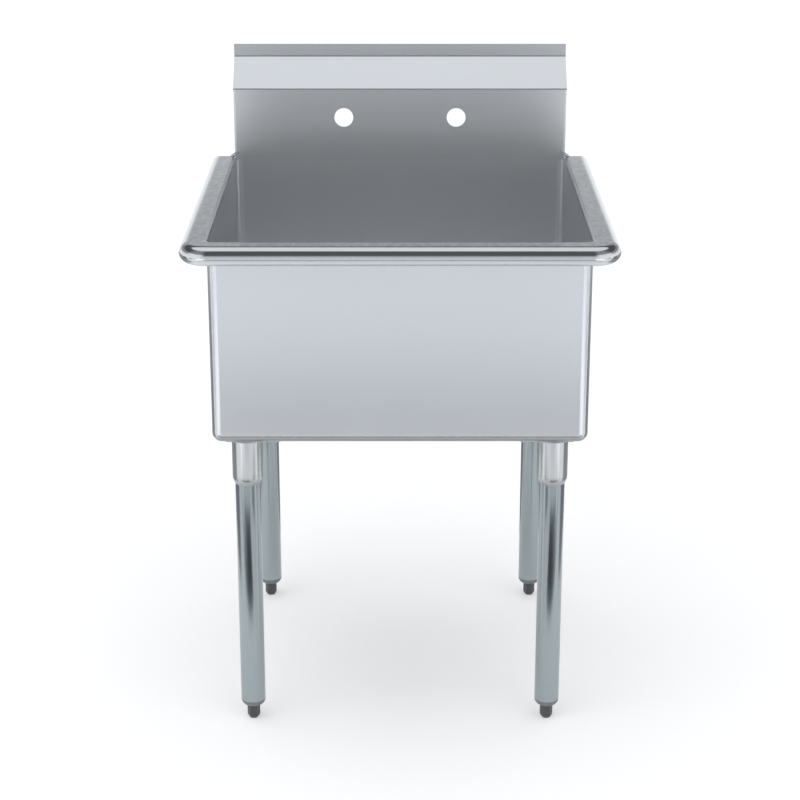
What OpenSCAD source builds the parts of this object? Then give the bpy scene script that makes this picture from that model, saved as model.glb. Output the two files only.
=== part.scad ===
// Single-bowl utility sink with a backsplash, on four tubular legs.
// Millimetres. X runs across the sink, Y from front to back and Z up.
// The origin is on the floor under the middle of the overall box, with the feet screwed right in.

/* [Bowl] */
// Outside width and depth of the square bowl
bowl_w = 602; // [560:1:640]
// Outside height of the bowl, from its floor to the top of the rim
bowl_h = 334; // [300:1:360]
// Height of the top of the rim above the floor
rim_z = 849.5; // [830:0.5:880]
// Thickness of the sheet steel
sheet = 1.2; // [0.9:0.1:1.5]
// Inside radius of the bowl's upright and bottom edges
bowl_edge_r = 14; // [12:0.5:18]
// Fall of the creased floor towards the drain, per millimetre
floor_fall = 0.012; // [0.008:0.001:0.02]

/* [Rim] */
// How far the rolled rim stands out from the bowl, at the front and the sides
overhang = 42; // [40:1:48]
// Outside radius of the roll
roll_r = 15.5; // [14:0.5:16]
// How far the roll wraps round, in degrees from the flat ledge
roll_wrap = 210; // [180:5:230]
// Outside radius of the front corners, seen from above
corner_r = 44; // [40:1:50]
// Radius of the bend from the bowl wall to the flat ledge
bend_r = 6; // [4:0.5:8]

/* [Backsplash] */
// Height of the upright face, from the rim to the slope
splash_h = 122.7; // [110:0.1:160]
// How far the 45 degree slope runs back
splash_run = 51; // [40:1:60]
// Height of the upright lip above the slope
lip_h = 22.1; // [18:0.1:30]
// Distance between the two faucet holes
faucet_spacing = 203.2; // [150:0.1:210]
// Diameter of each faucet hole
faucet_hole_d = 34; // [28:0.5:38]
// Height of the faucet holes above the rim
faucet_z = 71.2; // [50:0.1:80]
// Depth of the side edges that turn back
side_return = 13.7; // [10:0.1:20]

/* [Legs] */
// Outside diameter of the leg tube
leg_d = 41.3; // [38:0.1:43]
// Wall of the leg tube
leg_wall = 1.5; // [1.2:0.1:2]
// Distance from the bowl's faces to the middle of each leg
leg_inset = 52; // [48:1:56]
// Height of the tube's lower end above the floor
leg_foot_z = 36.5; // [34:0.5:50]
// Outside diameter of the leg socket
socket_d = 49; // [47:0.5:51]
// Height of the socket's lower end above the floor
socket_z = 430; // [400:1:450]

/* [Feet] */
// Distance across the flats of the foot
foot_flats = 19.05; // [17:0.05:20]
// Diameter of the threaded stem
stem_d = 16; // [12:0.5:16]
// Length of the threaded stem
stem_h = 45; // [40:1:55]

/* [Drain] */
// Diameter of the drain opening
drain_d = 89; // [88:0.5:92]
// Outside diameter of the thread for the tailpiece
outlet_d = 48.3; // [46:0.1:50]

/* [Hidden] */
$fn = 96;

// Corner names with the side that each lies on
CORNERS = [
    ["front_left", -1, -1],
    ["front_right", 1, -1],
    ["back_left", -1, 1],
    ["back_right", 1, 1]
];

// How far a cut runs past the surface that it goes through
over = 1;
// Gap round a piece that is pressed or screwed into another
press_gap = 0.05;

// Overall depth, and the middle of the bowl
depth = overhang + bowl_w + splash_run;
bowl_y = -depth / 2 + overhang + bowl_w / 2;

// Bowl
half = bowl_w / 2;
edge_r = bowl_edge_r + sheet;
flat = half - edge_r;
bowl_z = rim_z - bowl_h;
edge_z = bowl_z + edge_r;
wall_top_z = rim_z - bend_r;
floor_top_z = bowl_z + sheet;
// A height that the whole floor and its plates lie within, to cut them from
floor_cut_h = 40;
floor_cut_z = bowl_z - floor_cut_h / 2;

// Drain recess, stamped into the middle of the floor
recess_r = 62;
recess_lip = 2;
recess_slant = 5;
recess_depth = 2.6;
recess_top_z = floor_top_z - floor_fall * (flat - recess_r);
seat_z = recess_top_z - recess_depth;

// Rim, measured from the middle of the bowl
bend_x = half - sheet + bend_r;
roll_x = half + overhang - roll_r;
roll_z = rim_z - roll_r;
corner_x = half + overhang - corner_r;
rail_end_y = half - sheet;
cap_gap = 0.3;
// Where the two stretches that the roll is drawn in meet, in degrees
roll_split = -30;

// Backsplash, in true Y and Z
splash_y = bowl_y + half - sheet;
slope_z = rim_z + splash_h;
lip_y = splash_y + splash_run;
lip_z = slope_z + splash_run;
top_z = lip_z + lip_h;
fold_in = 2;
fold_out = fold_in + sheet;
side_edge_r = 4;
half_slope = 22.5;
lower_fold_z = slope_z - fold_out * tan(half_slope);
fold_steps = 4;
fold_lap = 0.5;
lower_fold = [splash_y + fold_out, lower_fold_z];
upper_fold = [lip_y - fold_in, lip_z + fold_in * tan(half_slope)];
splash_end_rise = 30;

// Legs
leg_x = half - leg_inset;
leg_r = leg_d / 2;
leg_top_gap = 1;
socket_r = socket_d / 2;
socket_bore_r = leg_r + 0.15;
plate_t = 2.4;
plate_in = 191;
plate_out = 283;
plate_corner_r = 8;
plate_z = bowl_z - floor_fall * (flat - plate_in) - plate_t;
socket_flange_r = 33;
socket_flange_t = 3;
nose_h = sqrt(socket_r * socket_r - socket_bore_r * socket_bore_r);
screw_r = 4;
screw_z = socket_z + 45;
screw_proud = 2;
screw_hex = 4;
screw_hex_depth = 3;

// Feet
foot_gap = 0.3;
insert_r = 12;
insert_z = leg_foot_z - insert_r;
spigot_h = 24;
foot_top_z = insert_z - foot_gap;
foot_corner_r = foot_flats / sqrt(3);
foot_tip_r = 7;
foot_chamfer_h = 6;

// Drain, with every height counted down from the seat in the recess
hole_r = drain_d / 2;
cup_r = hole_r - 1;
cup_wall = 2;
cup_h = 44;
cone_h = 12;
cone_lift = 1;
flange_r = 56;
flange_t = 1.8;
flange_bevel = 2;
cup_bottom_z = seat_z - cup_h;
throat_z = cup_bottom_z - cone_h;
outlet_r = outlet_d / 2;
outlet_wall = 2.6;
outlet_h = 28;
gasket_t = 3;
washer_t = 1.2;
washer_r = flange_r - 1;
ring_gap = 0.5;
locknut_t = 12;
locknut_wall = 6;
lug_w = 6;
lug_h = 4;
thread_gap = 0.1;
under_z = seat_z - sheet;
bar_w = 5;
bar_t = 3;
hub_r = 8;

// Basket
basket_r = 38;
basket_gap = 0.6;
basket_rim_r = cup_r - cup_wall - basket_gap;
basket_rim_h = 2;
basket_drop = 6;
basket_top_z = seat_z - basket_drop;
basket_floor_r = 28.5;
basket_wall = 1;
basket_hole_r = 2.5;
basket_hole_x = 17;
slot_w = 3.5;
slot_h = 22;
slot_rise = 9;
slot_reach = 8;
post_r = 2.8;
post_hole_r = post_r + 0.4;
post_lift = 0.5;
collar_r = post_r + 2.5;
collar_t = 3;
knob_r = 7;
knob_rise = 30;
knob_under = 3;
stopper_r = 24.8;
stopper_t = 3;
stopper_gap = 0.3;
basket_bottom_z = throat_z + bar_t + stopper_gap + stopper_t;

// Turns a shape drawn on the side of positive X over to the side asked for
module to_side(side) {
    mirror([side < 0 ? 1 : 0, 0, 0]) children();
}

// Turns a shape drawn for the back right corner over to the corner asked for
module to_corner(corner) {
    to_side(corner[1])
        mirror([0, corner[2] < 0 ? 1 : 0, 0]) children();
}

// A quarter of a ring in the first quadrant
module quarter_band(r, t) {
    intersection() {
        difference() {
            circle(r);
            circle(r - t);
        }
        square(r + over);
    }
}

// A stretch of a ring between two angles less than a half turn apart
module band(r, t, from, to) {
    far = 3 * r;
    middle = (from + to) / 2;
    intersection() {
        difference() {
            circle(r);
            circle(r - t);
        }
        polygon([
            [0, 0],
            far * [cos(from), sin(from)],
            far * [cos(middle), sin(middle)],
            far * [cos(to), sin(to)]
        ]);
    }
}

// One side of the bowl: wall, bottom bend, upright corner bend and the round bottom corner
module bowl_side() {
    wall_h = wall_top_z - edge_z;
    translate([half - sheet, -flat, edge_z])
        cube([sheet, 2 * flat, wall_h]);
    translate([flat, flat, edge_z])
        rotate([90, 0, 0])
            linear_extrude(2 * flat)
                rotate(-90) quarter_band(edge_r, sheet);
    translate([flat, flat, edge_z])
        linear_extrude(wall_h)
            quarter_band(edge_r, sheet);
    translate([flat, flat, edge_z])
        rotate_extrude(angle = 90)
            rotate(-90) quarter_band(edge_r, sheet);
}

// One of the four faces of the creased floor, falling from its edge to the middle
module floor_face() {
    middle_z = floor_top_z - floor_fall * flat;
    intersection() {
        rotate([90, 0, 0])
            linear_extrude(2 * flat, center = true)
                polygon([
                    [0, middle_z],
                    [flat, floor_top_z],
                    [flat, bowl_z],
                    [0, middle_z - sheet]
                ]);
        translate([0, 0, floor_cut_z])
            linear_extrude(floor_cut_h)
                polygon([[0, 0], [flat, -flat], [flat, flat]]);
    }
}

// The round recess that the drain's flange lies in
module drain_recess() {
    rotate_extrude()
        polygon([
            [hole_r, seat_z],
            [recess_r - recess_slant, seat_z],
            [recess_r, recess_top_z],
            [recess_r + recess_lip, recess_top_z],
            [recess_r + recess_lip, recess_top_z - sheet],
            [recess_r, recess_top_z - sheet],
            [recess_r - recess_slant, seat_z - sheet],
            [hole_r, seat_z - sheet]
        ]);
}

// The small web that squares the top of each rounded back corner
module back_corner_web() {
    translate([0, 0, wall_top_z - sheet])
        linear_extrude(sheet)
            translate([flat, flat])
                difference() {
                    square(edge_r);
                    circle(bowl_edge_r);
                }
}

// Bowl: four like sides round a creased floor with the drain's recess in its middle
module bowl() {
    color("#b9bdc2")
        translate([0, bowl_y, 0]) {
            for (turn = [0:90:270])
                rotate([0, 0, turn]) bowl_side();
            difference() {
                for (turn = [0:90:270])
                    rotate([0, 0, turn]) floor_face();
                translate([0, 0, floor_cut_z]) cylinder(h = floor_cut_h, r = recess_r);
            }
            drain_recess();
            back_corner_web();
            mirror([1, 0, 0]) back_corner_web();
        }
}

// Section of the bend between the wall and the ledge, with the bend's centre at x
module bend_section(x) {
    translate([x, wall_top_z])
        mirror([1, 0]) quarter_band(bend_r, sheet);
}

// Section of the roll, with its centre at x
module roll_section(x) {
    translate([x, roll_z]) {
        band(roll_r, sheet, roll_split, 90);
        band(roll_r, sheet, 90 - roll_wrap, roll_split);
    }
}

// The bend and the roll of one straight side, from y_from to y_to, on the side of positive X
module rail(y_from_bend, y_from_roll, y_to_bend, y_to_roll) {
    translate([0, y_to_bend, 0])
        rotate([90, 0, 0])
            linear_extrude(y_to_bend - y_from_bend) bend_section(bend_x);
    translate([0, y_to_roll, 0])
        rotate([90, 0, 0])
            linear_extrude(y_to_roll - y_from_roll) roll_section(roll_x);
}

// The bend and the roll of the corner at positive X
module rim_corner() {
    translate([flat, -flat, 0])
        rotate([0, 0, -90])
            rotate_extrude(angle = 90) bend_section(bend_x - flat);
    translate([corner_x, -corner_x, 0])
        rotate([0, 0, -90])
            rotate_extrude(angle = 90) roll_section(roll_x - corner_x);
}

// A rectangle that is open-ended at the back and has rounded front corners, seen from above
module u_outline(outer, centre, back) {
    translate([-outer, -centre]) square([2 * outer, centre + back]);
    translate([-centre, -outer]) square([2 * centre, outer]);
    for (side = [-1, 1])
        translate([side * centre, -centre]) circle(outer - centre);
}

// The flat ledge between the bend and the roll
module ledge() {
    translate([0, 0, rim_z - sheet])
        linear_extrude(sheet)
            difference() {
                u_outline(roll_x, corner_x, rail_end_y);
                u_outline(bend_x, flat, rail_end_y + over);
            }
}

// Rim: the ledge with its bend and roll, carried along the front, round both corners and to the back
module rolled_rim() {
    color("#c9ccd1")
        translate([0, bowl_y, 0]) {
            ledge();
            rotate([0, 0, -90]) rail(-flat, -corner_x, flat, corner_x);
            for (side = [0, 1])
                mirror([side, 0, 0]) {
                    rail(-flat, -corner_x, rail_end_y, rail_end_y);
                    rim_corner();
                }
        }
}

// Plate that closes the back end of a side rail, on the side of positive X
module rim_end_cap(side) {
    color("#b4b8bd")
        translate([0, splash_y + sheet, 0])
            to_side(side)
                rotate([90, 0, 0])
                    linear_extrude(sheet) {
                        translate([roll_x, roll_z]) circle(roll_r);
                        translate([half + cap_gap, roll_z])
                            square([roll_x - half - cap_gap, roll_r]);
                    }
}

// Points along an arc about a centre, in whole steps from one angle to another
function arc(centre, r, from, to) = [
    for (n = [0:fold_steps])
        centre + r * [cos(from + (to - from) * n / fold_steps), sin(from + (to - from) * n / fold_steps)]
];

// Outline of the sheet in Y and Z, from the height given up over the slope to the lip
function splash_outline(from_z) = concat(
    [[splash_y, from_z]],
    arc(lower_fold, fold_out, 180, 135),
    arc(upper_fold, fold_in, -45, 0),
    [[lip_y, top_z], [lip_y + sheet, top_z]],
    arc(upper_fold, fold_out, 0, -45),
    arc(lower_fold, fold_in, 135, 180),
    [[splash_y + sheet, from_z]]
);

// The edge of the upright face that turns back, on the side of positive X
module side_edge() {
    height = lower_fold_z - wall_top_z;
    translate([half - side_edge_r, splash_y + side_edge_r, wall_top_z])
        linear_extrude(height)
            rotate(-90) quarter_band(side_edge_r, sheet);
    translate([half - sheet, splash_y + side_edge_r, wall_top_z])
        cube([sheet, side_return - side_edge_r, height]);
}

// Backsplash: the folded sheet with its turned side edges and the two faucet holes
module backsplash() {
    face_half = half - side_edge_r;
    color("#aeb2b8")
        difference() {
            union() {
                translate([-face_half, 0, 0])
                    rotate([90, 0, 90])
                        linear_extrude(2 * face_half) polygon(splash_outline(wall_top_z));
                for (side = [-1, 1])
                    to_side(side) {
                        side_edge();
                        translate([face_half, 0, 0])
                            rotate([90, 0, 90])
                                linear_extrude(side_edge_r - sheet)
                                    polygon(splash_outline(lower_fold_z - fold_lap));
                    }
            }
            for (side = [-1, 1])
                translate([side * faucet_spacing / 2, splash_y - over, rim_z + faucet_z])
                    rotate([-90, 0, 0]) cylinder(h = sheet + 2 * over, d = faucet_hole_d);
        }
}

// Plate that closes the end of the slope, with its lower edge cut on a slant
module splash_end(side) {
    back_y = lip_y + sheet;
    color("#aeb2b8")
        translate([side > 0 ? half - sheet : -half, 0, 0])
            rotate([90, 0, 90])
                linear_extrude(sheet)
                    polygon([
                        [splash_y, lower_fold_z],
                        [splash_y, slope_z],
                        [lip_y, lip_z],
                        [lip_y, top_z],
                        [back_y, top_z],
                        [back_y, lower_fold_z + splash_end_rise],
                        [splash_y + side_return, lower_fold_z]
                    ]);
}

// A prism whose top follows one face of the creased floor
module plate_wedge() {
    rotate([90, 0, 0])
        linear_extrude(2 * flat, center = true)
            polygon([
                [plate_in, plate_z],
                [plate_out, plate_z],
                [plate_out, bowl_z - floor_fall * (flat - plate_out)],
                [plate_in, bowl_z - floor_fall * (flat - plate_in)]
            ]);
}

// A square with rounded corners whose lower left corner lies at the origin
module rounded_square(size, r) {
    translate([r, 0]) square([size - 2 * r, size]);
    translate([0, r]) square([size, size - 2 * r]);
    for (x = [r, size - r])
        for (y = [r, size - r])
            translate([x, y]) circle(r);
}

// Plate that stiffens a corner of the bowl's floor, seated against the crease
module leg_plate(corner) {
    color("#9da2a8")
        translate([0, bowl_y, 0])
            to_corner(corner)
                intersection() {
                    union() {
                        plate_wedge();
                        mirror([1, -1, 0]) plate_wedge();
                    }
                    translate([plate_in, plate_in, floor_cut_z])
                        linear_extrude(floor_cut_h)
                            rounded_square(plate_out - plate_in, plate_corner_r);
                }
}

// Moves to the middle of a leg
module at_leg(corner) {
    translate([corner[1] * leg_x, bowl_y + corner[2] * leg_x, 0]) children();
}

// Socket with a round nose, welded under the plate, that holds the top of a leg
module leg_socket(corner) {
    bore_h = plate_z - socket_flange_t - socket_z;
    color("#d2d5d9")
        at_leg(corner)
            difference() {
                rotate_extrude() {
                    translate([0, socket_z + nose_h])
                        square([socket_r, plate_z - socket_z - nose_h]);
                    intersection() {
                        translate([0, socket_z + nose_h]) circle(socket_r);
                        translate([0, socket_z]) square([socket_r, nose_h]);
                    }
                    translate([0, plate_z - socket_flange_t])
                        square([socket_flange_r, socket_flange_t]);
                }
                translate([0, 0, socket_z - over])
                    cylinder(h = bore_h + over, r = socket_bore_r);
                translate([0, 0, screw_z])
                    rotate([90 * corner[2], 0, 0])
                        cylinder(h = socket_r + over, r = screw_r + press_gap);
            }
}

// Grub screws that clamp the legs, one on the inner side of each socket
module socket_set_screws() {
    screw_from = leg_r + press_gap;
    screw_len = socket_r + screw_proud - screw_from;
    color("#55585c")
        for (corner = CORNERS)
            at_leg(corner)
                translate([0, 0, screw_z])
                    rotate([90 * corner[2], 0, 0])
                        translate([0, 0, screw_from])
                            difference() {
                                cylinder(h = screw_len, r = screw_r);
                                translate([0, 0, screw_len - screw_hex_depth])
                                    cylinder(
                                        h = screw_hex_depth + over,
                                        d = screw_hex * 2 / sqrt(3),
                                        $fn = 6
                                    );
                            }
}

// Leg: a straight tube that stops just under the socket's closed end
module leg(corner) {
    tube_h = plate_z - socket_flange_t - leg_top_gap - leg_foot_z;
    color("#9fadb0")
        at_leg(corner)
            translate([0, 0, leg_foot_z])
                difference() {
                    cylinder(h = tube_h, r = leg_r);
                    translate([0, 0, -over])
                        cylinder(h = tube_h + 2 * over, r = leg_r - leg_wall);
                }
}

// Plug pressed into the end of a leg, with a round shoulder and the hole for the foot's stem
module foot_insert(corner) {
    color("#77797c")
        at_leg(corner)
            difference() {
                rotate_extrude() {
                    translate([0, leg_foot_z])
                        square([leg_r - leg_wall - press_gap, spigot_h]);
                    translate([0, insert_z])
                        square([leg_r - insert_r, insert_r]);
                    translate([leg_r - insert_r, leg_foot_z])
                        rotate(-90)
                            intersection() {
                                circle(insert_r);
                                square(insert_r);
                            }
                }
                translate([0, 0, insert_z - over])
                    cylinder(h = insert_r + spigot_h + 2 * over, r = stem_d / 2 + press_gap);
            }
}

// Adjustable foot: a hexagon with a tapered tip, on a threaded stem
module foot(corner) {
    tip_len = foot_corner_r + over - foot_tip_r;
    tip_h = tip_len * foot_chamfer_h / (foot_corner_r - foot_tip_r);
    color("#4c4e51")
        at_leg(corner) {
            intersection() {
                cylinder(h = foot_top_z, r = foot_corner_r, $fn = 6);
                union() {
                    cylinder(h = tip_h, r1 = foot_tip_r, r2 = foot_tip_r + tip_len);
                    translate([0, 0, tip_h])
                        cylinder(h = foot_top_z - tip_h, r = foot_tip_r + tip_len);
                }
            }
            translate([0, 0, foot_top_z - over]) cylinder(h = stem_h + over, d = stem_d);
        }
}

// Bars across the outlet with a hub for the basket's post
module outlet_cross() {
    reach = outlet_r - over;
    translate([0, 0, throat_z]) {
        for (turn = [0, 90])
            rotate([0, 0, turn])
                translate([-reach, -bar_w / 2, 0]) cube([2 * reach, bar_w, bar_t]);
        cylinder(h = bar_t, r = hub_r);
    }
}

// Cup of the drain with its flange, sloped bottom, threaded outlet and cross bars
module drain_body() {
    color("#c2c5c9")
        translate([0, bowl_y, 0])
            difference() {
                union() {
                    rotate_extrude()
                        polygon([
                            [cup_r - cup_wall, seat_z + flange_t],
                            [flange_r - flange_bevel, seat_z + flange_t],
                            [flange_r, seat_z],
                            [cup_r, seat_z],
                            [cup_r, cup_bottom_z],
                            [outlet_r, throat_z],
                            [outlet_r, throat_z - outlet_h],
                            [outlet_r - outlet_wall, throat_z - outlet_h],
                            [outlet_r - outlet_wall, throat_z + cone_lift],
                            [cup_r - cup_wall, cup_bottom_z + cone_lift]
                        ]);
                    outlet_cross();
                }
                translate([0, 0, throat_z - over]) cylinder(h = bar_t + 2 * over, r = post_hole_r);
            }
}

// A flat ring under the bowl's floor
module drain_ring(top, thickness, inner, outer) {
    translate([0, bowl_y, top - thickness])
        difference() {
            cylinder(h = thickness, r = outer);
            translate([0, 0, -over]) cylinder(h = thickness + 2 * over, r = inner);
        }
}

// Rubber ring that seals the drain under the floor
module drain_gasket() {
    color("#2b2b2d") drain_ring(under_z, gasket_t, cup_r + ring_gap, flange_r);
}

// Fibre ring that lets the locknut turn under the gasket
module drain_washer() {
    color("#a98f6b") drain_ring(under_z - gasket_t, washer_t, cup_r + ring_gap, washer_r);
}

// Nut with eight lugs, screwed up the outside of the cup
module drain_locknut() {
    top = under_z - gasket_t - washer_t;
    nut_r = cup_r + locknut_wall;
    color("#b3b6ba") {
        drain_ring(top, locknut_t, cup_r + thread_gap, nut_r);
        translate([0, bowl_y, top - locknut_t])
            for (turn = [0:45:315])
                rotate([0, 0, turn])
                    translate([nut_r - over, -lug_w / 2, 0]) cube([lug_h + over, lug_w, locknut_t]);
    }
}

// Basket with a turned rim, slots round its wall and a ring of holes in its floor
module strainer_basket() {
    color("#cfd2d6")
        translate([0, bowl_y, 0])
            difference() {
                rotate_extrude()
                    polygon([
                        [basket_r - basket_wall, basket_top_z - basket_rim_h],
                        [basket_r - basket_wall, basket_top_z],
                        [basket_rim_r, basket_top_z],
                        [basket_rim_r, basket_top_z - basket_wall],
                        [basket_r, basket_top_z - basket_rim_h],
                        [basket_floor_r, basket_bottom_z],
                        [post_r + press_gap, basket_bottom_z],
                        [post_r + press_gap, basket_bottom_z + basket_wall],
                        [basket_floor_r - basket_wall, basket_bottom_z + basket_wall]
                    ]);
                for (turn = [0:22.5:337.5])
                    rotate([0, 0, turn])
                        translate([basket_floor_r - slot_reach, -slot_w / 2, basket_bottom_z + slot_rise])
                            cube([3 * slot_reach, slot_w, slot_h]);
                for (turn = [0:45:315])
                    rotate([0, 0, turn])
                        translate([basket_hole_x, 0, basket_bottom_z - over])
                            cylinder(h = basket_wall + 2 * over, r = basket_hole_r);
            }
}

// Post through the basket, with a round pull on top and a tip in the cross bars
module basket_post() {
    knob_z = basket_bottom_z + knob_rise;
    tip_z = throat_z + post_lift;
    color("#d6d8db")
        translate([0, bowl_y, 0]) {
            translate([0, 0, tip_z]) cylinder(h = knob_z - tip_z, r = post_r);
            translate([0, 0, basket_bottom_z + basket_wall])
                cylinder(h = collar_t, r = collar_r);
            rotate_extrude()
                intersection() {
                    translate([0, knob_z]) circle(knob_r);
                    translate([0, knob_z - knob_under]) square([knob_r, knob_r + knob_under]);
                }
        }
}

// Rubber ring under the basket that closes the drain's neck
module basket_stopper() {
    color("#232325")
        drain_ring(basket_bottom_z, stopper_t, post_r, stopper_r);
}

bowl();
rolled_rim();
rim_end_cap(-1);  // rim_end_cap_left
rim_end_cap(1);  // rim_end_cap_right
backsplash();
splash_end(-1);  // splash_end_left
splash_end(1);  // splash_end_right
for (corner = CORNERS) {
    leg_plate(corner);
    leg_socket(corner);
    leg(corner);
    foot_insert(corner);
    foot(corner);
}
socket_set_screws();
drain_body();
drain_gasket();
drain_washer();
drain_locknut();
strainer_basket();
basket_post();
basket_stopper();
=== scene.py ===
"""Single-bowl stainless utility sink on four tubular legs, in a plain studio. Metres, Z up."""

import math

import bpy
import numpy as np
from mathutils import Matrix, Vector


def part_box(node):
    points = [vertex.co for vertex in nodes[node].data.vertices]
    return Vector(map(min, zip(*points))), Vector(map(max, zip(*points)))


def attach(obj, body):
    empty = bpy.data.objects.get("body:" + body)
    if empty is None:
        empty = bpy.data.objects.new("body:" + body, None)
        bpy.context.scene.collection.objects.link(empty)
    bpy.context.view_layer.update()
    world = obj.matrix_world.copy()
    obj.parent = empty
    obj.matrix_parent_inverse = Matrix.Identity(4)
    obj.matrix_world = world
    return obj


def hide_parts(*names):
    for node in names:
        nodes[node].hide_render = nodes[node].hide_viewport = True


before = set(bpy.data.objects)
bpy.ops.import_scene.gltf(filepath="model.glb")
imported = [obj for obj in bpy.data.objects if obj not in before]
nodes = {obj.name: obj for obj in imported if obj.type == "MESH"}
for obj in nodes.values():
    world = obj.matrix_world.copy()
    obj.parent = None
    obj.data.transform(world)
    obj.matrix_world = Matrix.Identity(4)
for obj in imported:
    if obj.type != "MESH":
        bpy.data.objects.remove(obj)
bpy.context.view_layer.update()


# Bowl
# A square bowl of 18 gauge stainless sheet, folded, welded at its corners and ground smooth, with a
# fine grain that runs level round the walls and across the creased floor. Its inside is painted
# lighter, as painted light, and its outside below the bottom bend darker, as painted shade.

bowl_low, bowl_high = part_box("bowl")
BOWL_Y = (bowl_low.y + bowl_high.y) / 2
# The heights between which the painted shade on the outside below the bottom bend gives way to the
# walls' own tone
PAINTED_SHADE_BELOW = bowl_low.z + 0.012
NO_PAINTED_SHADE_ABOVE = bowl_low.z + 0.0225
# Where the ground welds of the corners and the painted shade lines of sharp folds start and stop
# to fade, from their middles
WELD_BAND = (0.0012, 0.004)
FOLD_SHADE_LINE = (0.0005, 0.0014)
# The colour of the painted shade along the sharp folds
FOLD_SHADE_TONE = (0.2, 0.21, 0.22, 1)


class Value:
    """A number in a material that changes over the surface. Its operators add Math nodes."""

    def __init__(self, finish, socket):
        self.finish = finish
        self.socket = socket

    def maths(self, operation, *terms):
        return self.finish.node("ShaderNodeMath", {"operation": operation}, dict(enumerate(terms)))

    def __add__(self, other):
        return self.maths("ADD", self, other)

    def __sub__(self, other):
        return self.maths("SUBTRACT", self, other)

    def __rsub__(self, other):
        return self.maths("SUBTRACT", other, self)

    def __mul__(self, other):
        return self.maths("MULTIPLY", self, other)

    def __pow__(self, other):
        return self.maths("POWER", self, other)

    def __abs__(self):
        return self.maths("ABSOLUTE", self)

    __radd__ = __add__
    __rmul__ = __mul__


class Finish:
    """A material, or the world, with one method that adds any node to it."""

    def __init__(self, owner):
        owner.use_nodes = True
        self.owner = owner
        self.tree = owner.node_tree
        self.tree.nodes.clear()

    def node(self, kind, settings=None, sockets=None, out=0):
        """Adds a node, sets its settings and then its sockets, and gives one of its outputs. A
        ramp's stops are (place, colour) pairs."""
        made = self.tree.nodes.new(kind)
        for name, setting in (settings or {}).items():
            if name == "stops":
                ramp = made.color_ramp.elements
                while len(ramp) < len(setting):
                    ramp.new(0.5)
                for stop, (place, colour) in zip(ramp, setting):
                    stop.position = place
                    stop.color = (*colour, 1)
            else:
                setattr(made, name, setting)
        for name, given in (sockets or {}).items():
            if isinstance(name, int):
                socket = made.inputs[name]
            else:
                socket = next(s for s in made.inputs if s.name == name and s.enabled)
            if isinstance(given, Value):
                self.tree.links.new(given.socket, socket)
            else:
                socket.default_value = given
        if not made.outputs:
            return None
        if isinstance(out, int):
            return Value(self, [s for s in made.outputs if s.enabled][out])
        return Value(self, made.outputs[out])

    def noise(self, where, scale, detail=3.0, roughness=0.55):
        """Noise from about 0 to 1, with its own number of waves per metre along X, Y and Z."""
        stretched = self.node("ShaderNodeMapping", None, {"Vector": where, "Scale": scale})
        sockets = {"Vector": stretched, "Scale": 1.0, "Detail": detail, "Roughness": roughness}
        return self.node("ShaderNodeTexNoise", None, sockets)

    def axes(self, vector):
        """The X, Y and Z of a place or a direction."""
        split = self.node("ShaderNodeSeparateXYZ", None, {0: vector}).socket.node
        return [Value(self, output) for output in split.outputs]

    def ramp(self, value, *stops):
        return self.node("ShaderNodeValToRGB", {"stops": stops}, {"Fac": value})

    def mix(self, share, first, second):
        """A colour that goes from the first to the second as the share goes from 0 to 1."""
        colours = {"Factor": share, "A": first, "B": second}
        return self.node("ShaderNodeMix", {"data_type": "RGBA"}, colours)

    def step(self, value, low, high):
        """0 below low, 1 above high, and a smooth rise between them."""
        sockets = {"Value": value, "From Min": low, "From Max": high}
        return self.node("ShaderNodeMapRange", {"interpolation_type": "SMOOTHSTEP"}, sockets)

    def bump(self, height, strength, distance):
        sockets = {"Height": height, "Strength": strength, "Distance": distance}
        return self.node("ShaderNodeBump", None, sockets)

    def surface(self, **sockets):
        """Ends the material with a Principled shader, and gives back the material."""
        named = {name.replace("_", " "): given for name, given in sockets.items()}
        shader = self.node("ShaderNodeBsdfPrincipled", None, named)
        self.node("ShaderNodeOutputMaterial", None, {"Surface": shader})
        return self.owner


def new_finish(name):
    return Finish(bpy.data.materials.new(name))


def dress(material, *names):
    """Gives CAD nodes their material."""
    for name in names:
        slots = nodes[name].data.materials
        slots.clear()
        slots.append(material)


def steel_tones(light, spread, tint=(0.97, 1.0, 1.03)):
    """Two greys of stainless steel, slightly blue, for the dark and the light of the grain."""
    return (0.0, tuple(np.array(tint) * (light - spread))), (1.0, tuple(np.array(tint) * light))


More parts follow.
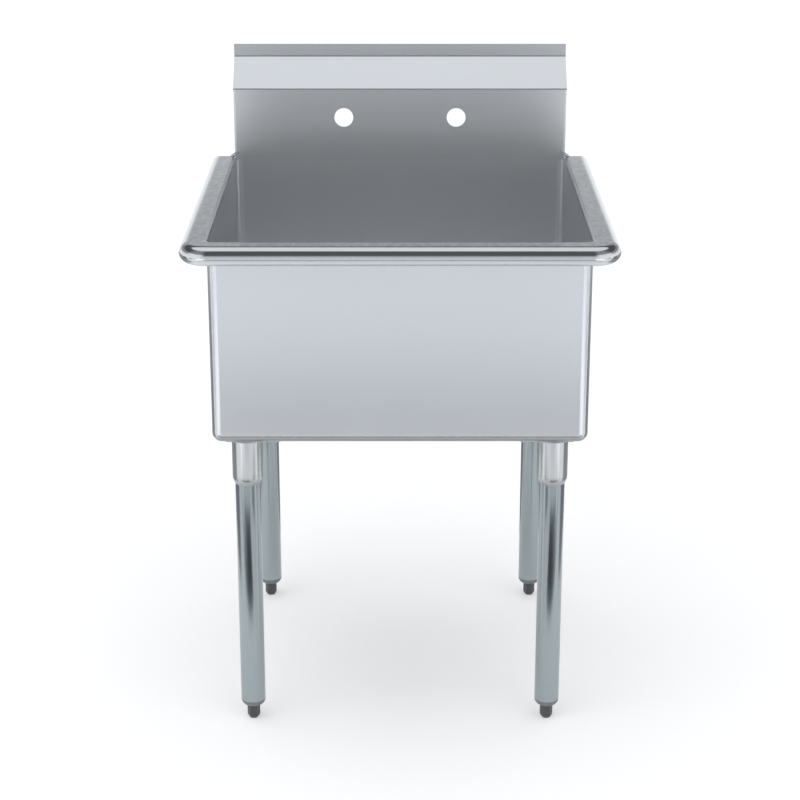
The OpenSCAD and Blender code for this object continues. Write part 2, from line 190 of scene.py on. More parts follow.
def brushed_steel(
    name, light=0.72, roughness=0.21, spread=0.04, inside=0.0, inside_top=2.0,
    underside=0.0, mottle=0.0, folds=(),
):
    """Stainless sheet with a grain that runs level on walls. Where the sheet lies flat the grain
    runs along X in front of and behind the bowl's diagonals and along Y beside them, so that it
    meets in mitres.
    inside is how much lighter the faces towards the bowl's inside are painted, as painted light, up
    to the height inside_top, where they are also a little rougher. With it, the sheet's other side
    is painted half as light below the bowl's bottom bend, as painted shade.
    underside is how much rougher the sheet is where it faces down, out of the polisher's reach.
    mottle is how much its level faces show the patches that the grinding belt left. It also makes
    those faces a little lighter on the whole, a painted light.
    folds are the heights of sharp folds, which get fine dark lines of painted shade."""
    finish = new_finish(name)
    where = finish.node("ShaderNodeTexCoord", out="Object")
    facing = finish.node("ShaderNodeTexCoord", out="Normal")
    x, y, z = finish.axes(where)
    face_x, face_y, face_z = finish.axes(facing)
    flat_share = finish.step(abs(face_z), 0.75, 0.9)
    from_middle = y - BOWL_Y
    beside = finish.step(abs(x) - abs(from_middle), -0.0005, 0.0005)
    on_walls = finish.noise(where, (2.5, 2.5, 260))
    along_x = finish.noise(where, (4, 300, 4))
    along_y = finish.noise(where, (300, 4, 4))
    on_flats = along_x * (1 - beside) + along_y * beside
    lines = on_walls * (1 - flat_share) + on_flats * flat_share
    clouds = finish.noise(where, (5, 5, 7), detail=2.0)
    shade = lines * 0.6 + clouds * 0.4
    if mottle:
        patches = finish.noise(where, (90, 55, 60), detail=4.0)
        level_share = finish.step(face_z, 0.98, 0.995)
        # Belt patches, and a small painted light: the offset of 0.4 lifts the level faces' tone
        shade = shade + (finish.step(patches, 0.35, 0.65) - 0.4) * level_share * mottle
    tone = finish.ramp(shade, *steel_tones(light, spread))
    rough = roughness + clouds * 0.03 + (1 - finish.step(face_z, -0.35, 0.1)) * underside
    # Painted light on the faces towards the bowl's inside, and painted shade on the outer faces
    # below the bottom bend
    if inside:
        inner_painted_light = finish.step(face_z * 0.3 - face_x * x - face_y * from_middle, -0.01, 0.01)
        inner_painted_light = inner_painted_light * (1 - finish.step(z, inside_top, inside_top + 0.001))
        dull = finish.ramp(shade, *steel_tones(light * 0.5, 0.04))
        painted_light_tones = steel_tones(light + inside, 0.03, tint=(0.985, 1.0, 1.012))
        polished = finish.ramp(shade, *painted_light_tones)
        painted_shade_share = 1 - finish.step(z, PAINTED_SHADE_BELOW, NO_PAINTED_SHADE_ABOVE)
        tone = finish.mix(inner_painted_light, finish.mix(painted_shade_share, tone, dull), polished)
        from_corner = abs(abs(x) - abs(from_middle))
        ground_weld = (1 - finish.step(from_corner, *WELD_BAND)) * (1 - flat_share) * inner_painted_light
        rough = rough + inner_painted_light * 0.08 + ground_weld * 0.45
    # Painted shade: a fine dark line along each sharp fold
    for fold in folds:
        line = 1 - finish.step(abs(z - fold), *FOLD_SHADE_LINE)
        tone = finish.mix(line * 0.6, tone, FOLD_SHADE_TONE)
    return finish.surface(Base_Color=tone, Metallic=1.0, Roughness=rough)


# The bowl's inside is painted lighter, as painted light, and its outside below the bottom bend
# darker, as painted shade
bowl_steel = brushed_steel("bowl_steel", inside=0.22)
dress(bowl_steel, "bowl")


# Rolled rim
# One sheet bent up out of the bowl into a flat ledge and rolled over its outer edge. It runs along
# the front and both sides. Its corners are welded and polished bright, and small plates close its
# back ends.

rim_steel = brushed_steel(
    "rim_steel", light=0.76, roughness=0.12, spread=0.22, underside=0.1, mottle=0.55
)
dress(rim_steel, "rolled_rim")
dress(bowl_steel, "rim_end_cap_left", "rim_end_cap_right")


# Backsplash
# A folded sheet welded to the back wall: an upright face with two punched holes for the faucet, a
# slope at 45 degrees and an upright lip, with the ends of the slope closed by welded plates.

LIP_H = 0.0221
SLOPE_H = 0.051
splash_low, splash_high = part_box("backsplash")
LIP_FOOT = splash_high.z - LIP_H
SLOPE_FOOT = LIP_FOOT - SLOPE_H
# Its upright face towards the bowl is painted lighter up to the slope's foot, as painted light, and
# its two folds get lines of painted shade
splash_steel = brushed_steel(
    "splash_steel", light=0.78, inside=0.13, inside_top=SLOPE_FOOT, folds=(SLOPE_FOOT, LIP_FOOT)
)
dress(splash_steel, "backsplash", "splash_end_left", "splash_end_right")


# Leg plates and sockets
# Plates of mill-finish sheet stiffen the floor's corners. Polished sockets with a round nose are
# welded under them, and each clamps its leg with a black grub screw on its inner side.

CORNERS = ("front_left", "front_right", "back_left", "back_right")
leg_low, leg_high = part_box("leg_front_right")
LEG_X = (leg_low.x + leg_high.x) / 2
NOSE_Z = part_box("leg_socket_front_left")[0].z
# The nose's painted shade and extra roughness give way between these heights over its lower end
NOSE_SHADE_BAND = (-0.002, 0.02)


def heated_plate(name):
    """Dull mill-finish sheet, clouded, with rings of straw and blue where welding heated it. The
    rings follow the distance from the nearest socket's axis, in tenths of a metre."""
    finish = new_finish(name)
    where = finish.node("ShaderNodeTexCoord", out="Object")
    x, y, _ = finish.axes(where)
    across = abs(x) - LEG_X
    along = abs(y - BOWL_Y) - LEG_X
    clouds = finish.noise(where, (35, 35, 35), detail=4.0)
    pores = finish.noise(where, (800, 800, 800), detail=2.0)
    away = (across * across + along * along) ** 0.5 + (clouds - 0.5) * 0.01
    plain = (0.5, 0.515, 0.53)
    blue, straw, pale = (0.3, 0.34, 0.45), (0.5, 0.42, 0.31), (0.52, 0.5, 0.45)
    rings = (0.0, plain), (0.36, blue), (0.4, straw), (0.5, pale), (0.62, plain)
    return finish.surface(
        Base_Color=finish.ramp(away * 10, *rings),
        Metallic=1.0,
        Roughness=0.34 + clouds * 0.08 + pores * 0.04,
        Normal=finish.bump(pores, 0.4, 0.00004),
    )


dress(heated_plate("plate_steel"), *[f"leg_plate_{corner}" for corner in CORNERS])


def polished_steel(name, light=0.68, roughness=0.2, nose=None):
    """Cast or turned stainless, polished: faint waves from the buffing wheel and fine hairlines
    round it. nose is the height of a lower end that is painted darker, as painted shade, and is
    made rougher."""
    finish = new_finish(name)
    where = finish.node("ShaderNodeTexCoord", out="Object")
    waves = finish.noise(where, (45, 45, 30), detail=2.0)
    hairs = finish.noise(where, (60, 60, 1400), detail=2.0)
    shade = waves * 0.6 + hairs * 0.4
    tone = finish.ramp(shade, *steel_tones(light, 0.05))
    rough = roughness - 0.02 + hairs * 0.02 + waves * 0.02
    if nose:
        height = finish.axes(where)[2]
        # Painted shade: the lower end gets darker tones, and it is rougher
        nose_shade = 1 - finish.step(height, *[nose + edge for edge in NOSE_SHADE_BAND])
        tone = finish.mix(nose_shade, tone, finish.ramp(shade, *steel_tones(light * 0.6, 0.05)))
        rough = rough + nose_shade * 0.1
    return finish.surface(
        Base_Color=tone,
        Metallic=1.0,
        Roughness=rough,
        Normal=finish.bump(waves + hairs * 0.1, 0.3, 0.00002),
    )


# The sockets' noses are painted darker, as painted shade
socket_steel = polished_steel("socket_steel", light=0.66, roughness=0.22, nose=NOSE_Z)
dress(socket_steel, *[f"leg_socket_{corner}" for corner in CORNERS])


def black_oxide(name):
    """Blackened steel with a thin, slightly uneven oxide."""
    finish = new_finish(name)
    where = finish.node("ShaderNodeTexCoord", out="Object")
    patches = finish.noise(where, (500, 500, 500))
    return finish.surface(
        Base_Color=finish.ramp(patches, (0.3, (0.03, 0.031, 0.034)), (0.8, (0.07, 0.072, 0.078))),
        Metallic=0.8,
        Roughness=0.3 + patches * 0.2,
    )


dress(black_oxide("screw_oxide"), "socket_set_screws")


# Legs
# Straight lengths of 1-5/8 in galvanized tube: cool grey zinc with a soft shine, a faint spangle
# and drawing lines that run down the tube.


def galvanized(name):
    """Zinc on steel tube: pale spangle cells, lines along the tube and soft cloudy stains."""
    finish = new_finish(name)
    where = finish.node("ShaderNodeTexCoord", out="Object")
    long_cells = finish.node("ShaderNodeMapping", None, {"Vector": where, "Scale": (1, 1, 0.45)})
    sockets = {"Vector": long_cells, "Scale": 170.0}
    cells = finish.node("ShaderNodeTexVoronoi", None, sockets, out="Color")
    spangle = finish.node("ShaderNodeSeparateColor", None, {0: cells})
    lines = finish.noise(where, (500, 500, 3))
    stains = finish.noise(where, (14, 14, 5), detail=4.0)
    tone = spangle * 0.08 + lines * 0.32 + stains * 0.6
    return finish.surface(
        Base_Color=finish.ramp(tone, (0.2, (0.335, 0.382, 0.402)), (0.8, (0.365, 0.416, 0.44))),
        Metallic=1.0,
        Roughness=0.16 + stains * 0.05,
        Normal=finish.bump(lines, 0.2, 0.000005),
    )


tube_zinc = galvanized("tube_zinc")
dress(tube_zinc, *[f"leg_{corner}" for corner in CORNERS])


# Foot inserts
# Grey plastic plugs moulded with a round shoulder, pressed into the lower ends of the legs, with
# the threaded hole that the foot screws up into.


def moulded_plastic(name, dark, light, roughness):
    """Moulded plastic with the fine grain of a spark-eroded mould and faint flow clouds."""
    finish = new_finish(name)
    where = finish.node("ShaderNodeTexCoord", out="Object")
    grain = finish.noise(where, (1800, 1800, 1800), detail=2.0)
    flow = finish.noise(where, (90, 90, 60))
    return finish.surface(
        Base_Color=finish.ramp(flow * 0.7 + grain * 0.3, (0.3, dark), (0.7, light)),
        Roughness=roughness - 0.05 + grain * 0.1,
        Normal=finish.bump(grain, 0.35, 0.00006),
    )


insert_plastic = moulded_plastic("insert_plastic", (0.19, 0.2, 0.215), (0.235, 0.245, 0.265), 0.45)
dress(insert_plastic, *[f"foot_insert_{corner}" for corner in CORNERS])


# Feet
# Dark grey moulded hexagons with a tapered tip, to turn with a spanner or by hand, on a threaded
# stem that screws into the insert. A foot screws out by up to 25 mm to level the sink.

FOOT_FLATS = 0.01905
FOOT_EDGE = 0.0006
FOOT_GAP = 0.0003
TIP_R = 0.007
TIP_H = 0.006
# The close rows, which follow the tip's cone and its round edge with the hexagon, as their first
# and last height and their number. The flanks over them have few, and the top edge some again.
TIP_ROWS = (0.0015, 0.008, 16)
FLANK_FOOT = 0.011
FLANK_ROWS = 5
EDGE_ROWS = 4
EDGE_POWER = 60
STEM_R = 0.008
STEM_TAPER_H = 0.0015
THREAD_PITCH = 0.002
THREAD_DEPTH = 0.0011
FOOT_COLUMNS = 96


def grid_faces(rows, columns, ring=False):
    """Quads of a grid that closes on itself along its rows. A ring closes along its columns too,
    and any other grid has a fan over its first and its last row."""
    bands = rows if ring else rows - 1
    row, column = np.meshgrid(np.arange(bands), np.arange(columns), indexing="ij")
    next_row = (row + 1) % rows
    next_column = (column + 1) % columns
    corners = [(row, column), (row, next_column), (next_row, next_column), (next_row, column)]
    quads = np.stack([r * columns + c for r, c in corners], axis=-1).reshape(-1, 4)
    if ring:
        return quads.tolist()
    around = np.arange(columns)
    following = (around + 1) % columns
    first, last = rows * columns, rows * columns + 1
    start = np.stack([following, around, np.full(columns, first)], axis=-1)
    end_row = (rows - 1) * columns
    end = np.stack([end_row + around, end_row + following, np.full(columns, last)], axis=-1)
    return quads.tolist() + start.tolist() + end.tolist()


def turned_piece(name, radius, height, centre, ring=False):
    """A closed piece round an upright axis. radius is a grid of rows by columns and height a grid
    of the same shape: the point at row i and angle t is centre + (radius cos t, radius sin t,
    height). In a ring the rows go up the outside and down the inside."""
    rows, columns = radius.shape
    angle = np.linspace(0, 2 * np.pi, columns, endpoint=False)
    points = np.stack([radius * np.cos(angle), radius * np.sin(angle), height], axis=-1)
    points = points.reshape(-1, 3)
    if not ring:
        poles = np.array([[0, 0, height[0].mean()], [0, 0, height[-1].mean()]])
        points = np.concatenate([points, poles])
    return solid_piece(name, points + centre, grid_faces(rows, columns, ring))


def solid_piece(name, points, faces, sharp=0.6):
    """A mesh object from whole arrays, smooth but for edges that bend by over sharp radians."""
    mesh = bpy.data.meshes.new(name)
    mesh.from_pydata(points.tolist(), [], faces)
    mesh.update()
    mesh.shade_smooth()
    mesh.set_sharp_from_angle(angle=sharp)
    piece = bpy.data.objects.new(name, mesh)
    bpy.context.scene.collection.objects.link(piece)
    return piece


def foot_surface(top, stem_top):
    """Radius and height of the foot. The hexagon's radius is half its width across flats over the
    cosine of the angle from the nearest flat. It and the cone of the tip are joined by the root of
    their summed powers, which rounds the edge between them, and an inset breaks the lowest and the
    top edge. The stem's radius falls from its crest by a triangle wave of height and angle, which
    makes a helix."""
    angle = np.linspace(0, 2 * np.pi, FOOT_COLUMNS, endpoint=False)
    from_flat = np.mod(angle, np.pi / 3) - np.pi / 6
    hexagon = FOOT_FLATS / 2 / np.cos(from_flat)
    corner = FOOT_FLATS / math.sqrt(3) - FOOT_EDGE / 3
    over_edge = np.linspace(0.4, np.pi / 2, EDGE_ROWS)
    z = np.concatenate([
        [0, 0, FOOT_EDGE / 4, FOOT_EDGE],
        np.linspace(*TIP_ROWS),
        np.linspace(FLANK_FOOT, top - FOOT_EDGE, FLANK_ROWS),
        top - FOOT_EDGE * (1 - np.sin(over_edge)),
    ])
    inset = np.zeros(len(z))
    inset[:3] = [FOOT_EDGE, FOOT_EDGE * 0.6, FOOT_EDGE * 0.2]
    inset[-EDGE_ROWS:] = FOOT_EDGE * (1 - np.cos(over_edge))
    cone = TIP_R + z * (corner - TIP_R) / TIP_H
    round_hexagon = (hexagon ** -EDGE_POWER + corner ** -EDGE_POWER) ** (-1 / EDGE_POWER)
    powers = round_hexagon[None] ** -EDGE_POWER + cone[:, None] ** -EDGE_POWER
    radius = powers ** (-1 / EDGE_POWER) - inset[:, None]
    height = np.repeat(z[:, None], FOOT_COLUMNS, axis=1)

    stem_z = np.arange(top + 0.0001, stem_top, THREAD_PITCH / 8)
    phase = stem_z[:, None] / THREAD_PITCH - angle[None] / (2 * np.pi)
    groove = np.abs(2 * (phase - np.floor(phase)) - 1)
    to_end = np.minimum((stem_top - stem_z) / STEM_TAPER_H, 1)[:, None]
    stem = (STEM_R - THREAD_DEPTH * (1 - groove)) * (0.86 + 0.14 * to_end)
    stem_height = np.repeat(stem_z[:, None], FOOT_COLUMNS, axis=1)
    return np.concatenate([radius, stem]), np.concatenate([height, stem_height])


foot_plastic = moulded_plastic("foot_plastic", (0.062, 0.064, 0.068), (0.09, 0.093, 0.098), 0.42)
for corner in CORNERS:
    node = f"foot_{corner}"
    foot_low, foot_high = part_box(node)
    middle = (foot_low + foot_high) / 2
    insert_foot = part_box(f"foot_insert_{corner}")[0].z
    radius, height = foot_surface(insert_foot - FOOT_GAP, foot_high.z)
    foot = turned_piece(f"levelling_{node}", radius, height, (middle.x, middle.y, 0))
    foot.data.materials.append(foot_plastic)
    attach(foot, node)
    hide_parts(node)


# Welds
# Beads laid by hand round the sockets' flanges, with their ripples left as laid, and a bright bead
# that climbs from the ledge onto each lower corner of the backsplash.

WELD_R = 0.0016
RIPPLE = 0.0016
RIPPLE_STEPS = 5
BEAD_COLUMNS = 14
CLIMB_R = 0.0031
CLIMB_START = 0.0075
CLIMB_WIDTH = 0.0165
CLIMB_H = 0.0085
CLIMB_BACK = 0.0016
CLIMB_FORWARD = 0.0026
CLIMB_SUNK = 0.0004
CLIMB_RIPPLE = 0.0003
CLIMB_STEPS = 40


def weld_bead(name, path, radius, ring):
    """A bead along a path of points: the ring round point j is path j + radius j (side cos t +
    up sin t), where side is level and up is square to it and to the path."""
    if ring:
        along = np.roll(path, -1, axis=0) - np.roll(path, 1, axis=0)
    else:
        along = np.gradient(path, axis=0)
    side = np.cross(along, (0, 0, 1))
    side /= np.linalg.norm(side, axis=1)[:, None]
    up = np.cross(side, along)
    up /= np.linalg.norm(up, axis=1)[:, None]
    turn = np.linspace(0, 2 * np.pi, BEAD_COLUMNS, endpoint=False)[None, :, None]
    around = side[:, None] * np.cos(turn) + up[:, None] * np.sin(turn)
    rings = path[:, None] + radius[:, None, None] * around
    points = rings.reshape(-1, 3)
    if not ring:
        points = np.concatenate([points, path[[0, -1]]])
    return solid_piece(name, points, grid_faces(len(path), BEAD_COLUMNS, ring), sharp=1.2)


def weld_metal(name):
    """Weld metal as laid: dull grey with straw and blue heat tints."""
    finish = new_finish(name)
    where = finish.node("ShaderNodeTexCoord", out="Object")
    tint = finish.noise(where, (120, 120, 120), detail=3.0)
    crust = finish.noise(where, (900, 900, 900), detail=2.0)
    stops = (0.3, (0.4, 0.42, 0.46)), (0.5, (0.52, 0.52, 0.53)), (0.7, (0.54, 0.49, 0.42))
    return finish.surface(
        Base_Color=finish.ramp(tint, *stops),
        Metallic=1.0,
        Roughness=0.32 + crust * 0.15,
        Normal=finish.bump(crust, 0.4, 0.00005),
    )


weld_steel = weld_metal("weld_steel")
for corner in CORNERS:
    flange_low, flange_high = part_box(f"leg_socket_{corner}")
    middle = (flange_low + flange_high) / 2
    flange_r = (flange_high.x - flange_low.x) / 2
    steps = round(2 * math.pi * flange_r / RIPPLE) * RIPPLE_STEPS
    turn = np.linspace(0, 2 * np.pi, steps, endpoint=False)
    across = middle.x + flange_r * np.cos(turn)
    back = middle.y + flange_r * np.sin(turn)
    rise = np.full(steps, flange_high.z - WELD_R * 0.85)
    ripples = WELD_R * (0.93 + 0.07 * np.cos(np.arange(steps) * 2 * np.pi / RIPPLE_STEPS))
    path = np.stack([across, back, rise], axis=-1)
    bead = weld_bead(f"socket_weld_{corner}", path, ripples, ring=True)
    bead.data.materials.append(weld_steel)
    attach(bead, "sink")

# Over its share of the way from the ledge, the bead is thickest halfway, comes forward as a sine
# does, and climbs ever faster, with four ripples
ledge_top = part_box("rolled_rim")[1].z
share = np.linspace(0, 1, CLIMB_STEPS)
radius = CLIMB_R * np.sin(np.pi * (0.05 + 0.9 * share)) ** 0.6
back = splash_low.y + CLIMB_BACK - CLIMB_FORWARD * np.sin(share * np.pi / 2)
rise = ledge_top - CLIMB_SUNK + CLIMB_H * share ** 1.3 + CLIMB_RIPPLE * np.cos(share * np.pi * 8)
for side, sign in (("left", -1), ("right", 1)):
    across = sign * (splash_high.x + CLIMB_START - CLIMB_WIDTH * share)
    path = np.stack([across, back, rise], axis=-1)
    bead = weld_bead(f"splash_weld_{side}", path, radius, ring=False)
    bead.data.materials.append(rim_steel)
    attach(bead, "sink")


# Drain
# A pressed stainless cup whose flange lies in the recess of the bowl's floor, with a rubber gasket,
# a fibre washer and a cast nut under the floor, and a threaded outlet with a cross at its neck.

CUP_R = 0.0435
CUP_WALL = 0.002
CUP_H = 0.044
CONE_H = 0.012
FLANGE_R = 0.056
FLANGE_T = 0.0018
OUTLET_R = 0.02415
OUTLET_WALL = 0.0026
OUTLET_PITCH = 0.0022
OUTLET_THREAD = 0.0011
CUP_PITCH = 0.002
CUP_THREAD = 0.0007
CUP_THREAD_H = 0.031
CROSS_REACH = 0.0228
BAR_W = 0.005
BAR_T = 0.003
HUB_R = 0.008
POST_HOLE_R = 0.0032
CROSS_BEVEL = 0.0005
CROSS_COLUMNS = 720
DRAIN_COLUMNS = 96


def thread_rows(low, high, crest, depth, pitch):
    """Rows of a thread between two heights. The radius falls below the crest by a triangle wave of
    the height in pitches less the share of a turn. The wave fades in and out over one pitch at
    the ends."""
    z = np.arange(low, high, pitch / 6)
    turn = np.arange(DRAIN_COLUMNS) / DRAIN_COLUMNS
    phase = z[:, None] / pitch - turn[None]
    wave = np.abs(2 * (phase - np.floor(phase)) - 1)
    fade = np.clip(np.minimum(z - low, high - z) / pitch, 0, 1)[:, None]
    radius = crest - depth * wave * fade
    return radius, np.repeat(z[:, None], DRAIN_COLUMNS, axis=1)


def plain_rows(*points):
    """Rows of an even circle at each (radius, height)."""
    radius, height = np.array(points).T
    return [np.repeat(values[:, None], DRAIN_COLUMNS, axis=1) for values in (radius, height)]


def cross_surface(low, high):
    """The cross bars and their hub as one ring round the post's hole. At each angle the outer
    radius is the largest of the hub's and the two bars', and a bar's is its half width over the
    sine of the angle from its own line, up to its reach. A small bevel breaks the upper edges."""
    angle = np.linspace(0, 2 * np.pi, CROSS_COLUMNS, endpoint=False)
    beside = np.maximum(np.abs(np.stack([np.sin(angle), np.cos(angle)])), 1e-6)
    bars = np.minimum(BAR_W / 2 / beside, CROSS_REACH)
    outer = np.maximum(bars.max(axis=0), HUB_R)
    hole = np.full_like(outer, POST_HOLE_R)
    radius = np.stack([outer, outer, outer - CROSS_BEVEL, hole + CROSS_BEVEL, hole, hole])
    height = np.array([low, high - CROSS_BEVEL, high, high, high - CROSS_BEVEL, low])
    return radius, np.repeat(height[:, None], CROSS_COLUMNS, axis=1)


drain_steel = polished_steel("drain_steel", light=0.64, roughness=0.24)
drain_low, drain_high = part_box("drain_body")
seat = drain_high.z - FLANGE_T
cup_foot = seat - CUP_H
throat = cup_foot - CONE_H
bore = OUTLET_R - OUTLET_WALL
inside = CUP_R - CUP_WALL
top = drain_high.z
# Up the outside from the outlet's foot, over the flange and down the inside. The steps of 0.4 to
# 2 mm beside the named sizes break or round the edges.
rows = [
    plain_rows((OUTLET_R - 0.0012, drain_low.z)),
    thread_rows(drain_low.z + 0.0008, throat - 0.001, OUTLET_R, OUTLET_THREAD, OUTLET_PITCH),
    plain_rows((OUTLET_R, throat), (CUP_R - 0.001, cup_foot - 0.0006), (CUP_R, cup_foot + 0.0006)),
    thread_rows(seat - CUP_THREAD_H, seat - 0.0012, CUP_R, CUP_THREAD, CUP_PITCH),
    plain_rows(
        (CUP_R, seat), (FLANGE_R, seat), (FLANGE_R - 0.0004, seat + 0.0007),
        (FLANGE_R - 0.002, top), (inside + 0.002, top), (inside + 0.0008, top - 0.0004),
        (inside, top - 0.0014), (inside, cup_foot + 0.0016), (inside - 0.001, cup_foot + 0.0004),
        (bore, throat + 0.001), (bore, drain_low.z),
    ),
]
radius, height = (np.concatenate(grids) for grids in zip(*rows))
centre = ((drain_low.x + drain_high.x) / 2, (drain_low.y + drain_high.y) / 2, 0)
drain = turned_piece("threaded_drain", radius, height, centre, ring=True)
cross = turned_piece("drain_cross", *cross_surface(throat, throat + BAR_T), centre, ring=True)
for piece in (drain, cross):
    piece.data.materials.append(drain_steel)
    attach(piece, "sink")
    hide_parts("drain_body")


def black_rubber(name):
    """Moulded rubber: near black, matt, with a fine bloom."""
    finish = new_finish(name)
    where = finish.node("ShaderNodeTexCoord", out="Object")
    bloom = finish.noise(where, (220, 220, 220), detail=4.0)
    return finish.surface(
        Base_Color=finish.ramp(bloom, (0.3, (0.012, 0.012, 0.013)), (0.8, (0.035, 0.035, 0.036))),
        Roughness=0.62 + bloom * 0.2,
        Normal=finish.bump(bloom, 0.3, 0.0001),
    )


rubber = black_rubber("rubber")
dress(rubber, "drain_gasket", "basket_stopper")


def pressed_fibre(name):
    """Brown washer board: short fibres in all directions, matt."""
    finish = new_finish(name)
    where = finish.node("ShaderNodeTexCoord", out="Object")
    across = finish.noise(where, (2600, 500, 900))
    along = finish.noise(where, (500, 2600, 900))
    fibres = (across + along) * 0.5
    return finish.surface(
        Base_Color=finish.ramp(fibres, (0.35, (0.3, 0.2, 0.11)), (0.65, (0.46, 0.34, 0.21))),
        Roughness=0.85,
        Normal=finish.bump(fibres, 0.5, 0.0001),
    )


dress(pressed_fibre("washer_fibre"), "drain_washer")


def die_cast(name):
    """Die-cast metal as it leaves the mould: grey, with soft pits and flow marks."""
    finish = new_finish(name)
    where = finish.node("ShaderNodeTexCoord", out="Object")
    pits = finish.noise(where, (700, 700, 700), detail=3.0)
    flow = finish.noise(where, (60, 60, 90))
    tone = flow * 0.6 + pits * 0.4
    return finish.surface(
        Base_Color=finish.ramp(tone, (0.3, (0.4, 0.405, 0.41)), (0.7, (0.52, 0.525, 0.53))),
        Metallic=1.0,
        Roughness=0.36 + pits * 0.16,
        Normal=finish.bump(pits, 0.4, 0.0001),
    )


dress(die_cast("nut_metal"), "drain_locknut")


# Strainer basket
# A pressed stainless basket with a turned rim, slots round its wall and holes in its floor, on a
# post with a round pull, over a rubber stopper that closes the drain's neck.

dress(drain_steel, "strainer_basket", "basket_post")


# Studio
# A white floor that runs out of sight, soft light from overhead and from all round, and cards low
# round the sink, which stand for a photo studio's light and dark panels and show in metal only.

FLOOR_R = 30.0
FLOOR_GLOW = 0.36
WHITE = (1, 1, 1, 1)
CARD_TINT = np.array([0.975, 1.0, 1.05])
FRONT_CARD_Z = 0.001
CARD_Z = 0.002
DARK_CARD_Z = 0.003
PARTING_Z = 0.004
SHELF_Z = 0.25

# Cards beside the sink, one on each side: near and far edge in X, front and back edge in Y
SMALL_CARD = (0.8, 1.15, -1.24, -0.95)
SMALL_GLOW = 1.7
FILL_CARD = (1.15, 1.75, -1.24, -0.36)
FILL_GLOW = 1.05
LIGHT_CARD = (0.7, 2.3, -2.9, -1.25)
LIGHT_TONES = ((0.7, 1.45), (1.35, 1.4), (1.9, 0.98), (2.3, 0.95))
SIDE_CARD = (0.86, 3.4, -0.35, 0.52)
SIDE_TONES = ((0.86, 0.38), (1.35, 0.36), (1.65, 0.21), (3.4, 0.21))

# Cards across the middle: left and right edge in X, front and back edge in Y
BACK_CARD = (-3.4, 3.4, 0.52, 3.2)
BACK_GLOW = 0.36
FRONT_CARD = (-2.6, 2.6, -29.0, -0.8)
FRONT_TONES = (
    (-29.0, 0.95), (-10.5, 0.9), (-8.0, 0.26), (-4.6, 0.26), (-3.6, 1.14),
    (-2.9, 1.13), (-2.5, 0.97), (-2.2, 0.84), (-1.8, 0.5), (-0.8, 0.4),
)
DARK_CARD = (-0.85, 0.85, -1.2, -0.7)
DARK_TONES = ((-0.85, 0.5), (-0.4, 0.06), (0.4, 0.06), (0.85, 0.5))
SHELF_CARD = (-0.6, 0.6, -0.95, -0.6)
PARTING_BACK = -0.36
PARTING_GLOW = 0.9


def level_corners(x0, x1, y0, y1, z):
    """The corners of a level rectangle that faces up."""
    return np.array([[x0, y0, z], [x1, y0, z], [x1, y1, z], [x0, y1, z]])


def stage_card(name, corners, finish):
    card = solid_piece(name, corners, [[0, 1, 2, 3]])
    card.data.materials.append(finish.owner)
    return card


def mirror_card(name, corners, finish):
    """A card that only metal shows, as a studio card stands out of the picture."""
    card = stage_card(name, corners, finish)
    card.visible_camera = False
    card.visible_diffuse = False
    card.visible_shadow = False


def glowing(name, strength):
    finish = new_finish(name)
    glow = finish.node("ShaderNodeEmission", None, {"Color": WHITE, "Strength": strength})
    finish.node("ShaderNodeOutputMaterial", None, {"Surface": glow})
    return finish


def graded(name, axis, low, high, tones):
    """A glow that changes along one axis between two places, through (place, strength) tones."""
    finish = new_finish(name)
    where = finish.node("ShaderNodeTexCoord", out="Object")
    place = finish.node("ShaderNodeSeparateXYZ", None, {0: where}, out=axis)
    stops = [((at - low) / (high - low), tuple(tone * CARD_TINT)) for at, tone in tones]
    colour = finish.ramp((place - low) * (1 / (high - low)), *stops)
    glow = finish.node("ShaderNodeEmission", None, {"Color": colour, "Strength": 1.0})
    finish.node("ShaderNodeOutputMaterial", None, {"Surface": glow})
    return finish


paper = new_finish("floor_paper")
seen = (
    paper.node("ShaderNodeLightPath", out="Is Camera Ray")
    + paper.node("ShaderNodeLightPath", out="Is Glossy Ray")
    + paper.node("ShaderNodeLightPath", out="Is Transmission Ray")
)
white = paper.node("ShaderNodeBsdfDiffuse", None, {"Color": (0.8, 0.8, 0.8, 1)})
glow = paper.node("ShaderNodeEmission", None, {"Color": WHITE, "Strength": seen * FLOOR_GLOW})
lit = paper.node("ShaderNodeAddShader", None, {0: white, 1: glow})
paper.node("ShaderNodeOutputMaterial", None, {"Surface": lit})
stage_card("floor", level_corners(-FLOOR_R, FLOOR_R, -FLOOR_R, FLOOR_R, 0), paper)

for name, (near, far, front, back), strength in (
    ("small", SMALL_CARD, SMALL_GLOW),
    ("fill", FILL_CARD, FILL_GLOW),
):
    glow = glowing(f"{name}_card_glow", strength)
    mirror_card(f"{name}_card_left", level_corners(-far, -near, front, back, CARD_Z), glow)
    mirror_card(f"{name}_card_right", level_corners(near, far, front, back, CARD_Z), glow)
for name, (near, far, front, back), tones in (
    ("light", LIGHT_CARD, LIGHT_TONES),
    ("side", SIDE_CARD, SIDE_TONES),
):
    mirrored = [(-at, tone) for at, tone in tones[::-1]]
    right_glow = graded(f"{name}_card_right_glow", "X", near, far, tones)
    left_glow = graded(f"{name}_card_left_glow", "X", -far, -near, mirrored)
    mirror_card(f"{name}_card_right", level_corners(near, far, front, back, CARD_Z), right_glow)
    mirror_card(f"{name}_card_left", level_corners(-far, -near, front, back, CARD_Z), left_glow)
back_glow = glowing("back_card_glow", BACK_GLOW)
mirror_card("back_card", level_corners(*BACK_CARD, CARD_Z), back_glow)
front_glow = graded("front_card_glow", "Y", *FRONT_CARD[2:], FRONT_TONES)
mirror_card("front_card", level_corners(*FRONT_CARD, FRONT_CARD_Z), front_glow)

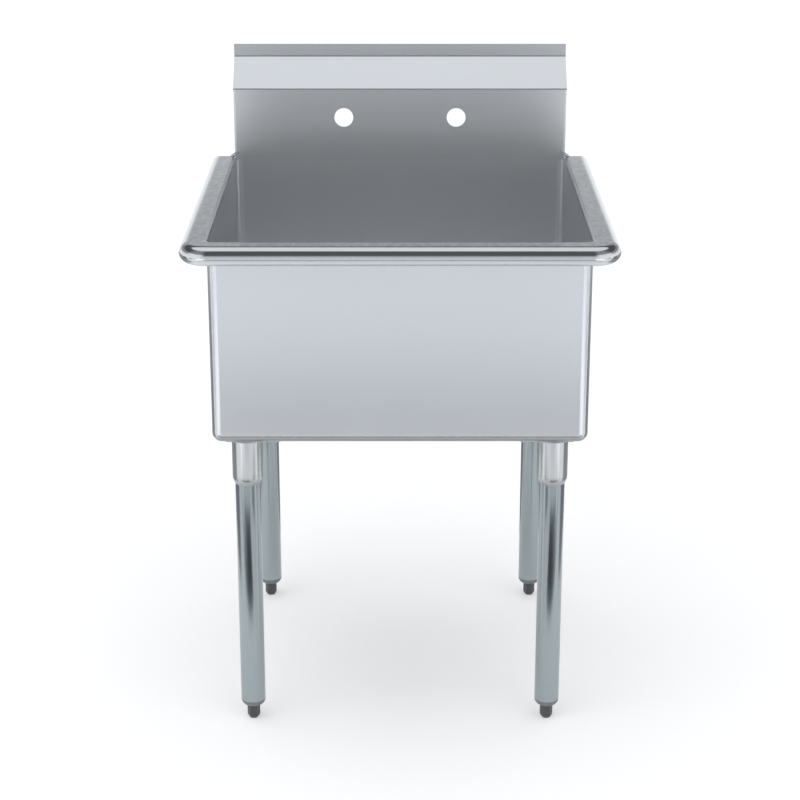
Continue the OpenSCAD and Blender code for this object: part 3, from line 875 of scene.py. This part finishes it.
# A dark card on the floor, an upright light one that parts it for the legs, and a level light one
# over it that keeps it out of the rim
dark_glow = graded("dark_card_glow", "X", *DARK_CARD[:2], DARK_TONES)
mirror_card("dark_card", level_corners(*DARK_CARD, DARK_CARD_Z), dark_glow)
parting_glow = glowing("parting_glow", PARTING_GLOW)
front = DARK_CARD[2]
foot_line = [[0, front, PARTING_Z], [0, PARTING_BACK, PARTING_Z]]
top_line = [[0, PARTING_BACK, SHELF_Z], [0, front, SHELF_Z]]
mirror_card("parting_card", np.array(foot_line + top_line), parting_glow)
mirror_card("shelf_card", level_corners(*SHELF_CARD, SHELF_Z), parting_glow)

# The world: a soft box overhead, tilted back. In front of the sink the sky is bright below and dim
# above, and brighter off the middle. Behind it the sky darkens with height in two steps.
world = bpy.data.worlds.new("studio")
bpy.context.scene.world = world
sky = Finish(world)
toward_x, toward_y, toward_z = sky.axes(sky.node("ShaderNodeTexCoord", out="Generated"))
overhead = sky.step(toward_y * 0.208 + toward_z * 0.978, 0.84, 0.87)
in_front = sky.step(toward_y * -1, 0.0, 0.35)
aside = sky.step(abs(toward_x), 0.35, 0.6)
off_axis = sky.step(abs(toward_x) + toward_y * 0.25, 0.0, 0.15)
front_light = 0.115 + 0.85 * (1 - sky.step(toward_z, -0.15, 0.38))
corner_light = 0.32 + 0.73 * (1 - sky.step(toward_z, 0.38, 0.46))
front_light = front_light * (1 - off_axis) + corner_light * off_axis
back_light = 0.1 + (1 - sky.step(toward_z, 0.14, 0.23)) * (0.54 + aside * 0.12)
back_light = back_light + (1 - sky.step(toward_z, 0.43, 0.48)) * (0.36 - aside * 0.12)
around_light = front_light * in_front + back_light * (1 - in_front)
sky_light = around_light * (1 - overhead) + overhead * 0.98
sky_sockets = {"Color": (0.985, 1, 1.03, 1), "Strength": sky_light}
background = sky.node("ShaderNodeBackground", None, sky_sockets)
sky.node("ShaderNodeOutputWorld", None, {"Surface": background})

# The sky's broad even light, as one wide lamp that shows in no reflection
SUN_STRENGTH = 1.45
SUN_ANGLE = 100
SUN_TILT = (25, -12)
skylight = bpy.data.objects.new("skylight", bpy.data.lights.new("skylight", "SUN"))
skylight.data.energy = SUN_STRENGTH
skylight.data.angle = math.radians(SUN_ANGLE)
skylight.rotation_euler = (math.radians(SUN_TILT[0]), math.radians(SUN_TILT[1]), 0)
skylight.visible_glossy = False
bpy.context.scene.collection.objects.link(skylight)

EYE = (0, -3.3962, 1.6779)
EYE_PITCH = 19.39
LENS = 92.84
VIEW_END = 100
camera = bpy.data.objects.new("camera", bpy.data.cameras.new("camera"))
camera.location = EYE
camera.rotation_euler = (math.radians(90 - EYE_PITCH), 0, 0)
camera.data.lens = LENS
camera.data.clip_end = VIEW_END
bpy.context.scene.collection.objects.link(camera)
bpy.context.scene.camera = camera
bpy.context.scene.view_settings.view_transform = "Standard"
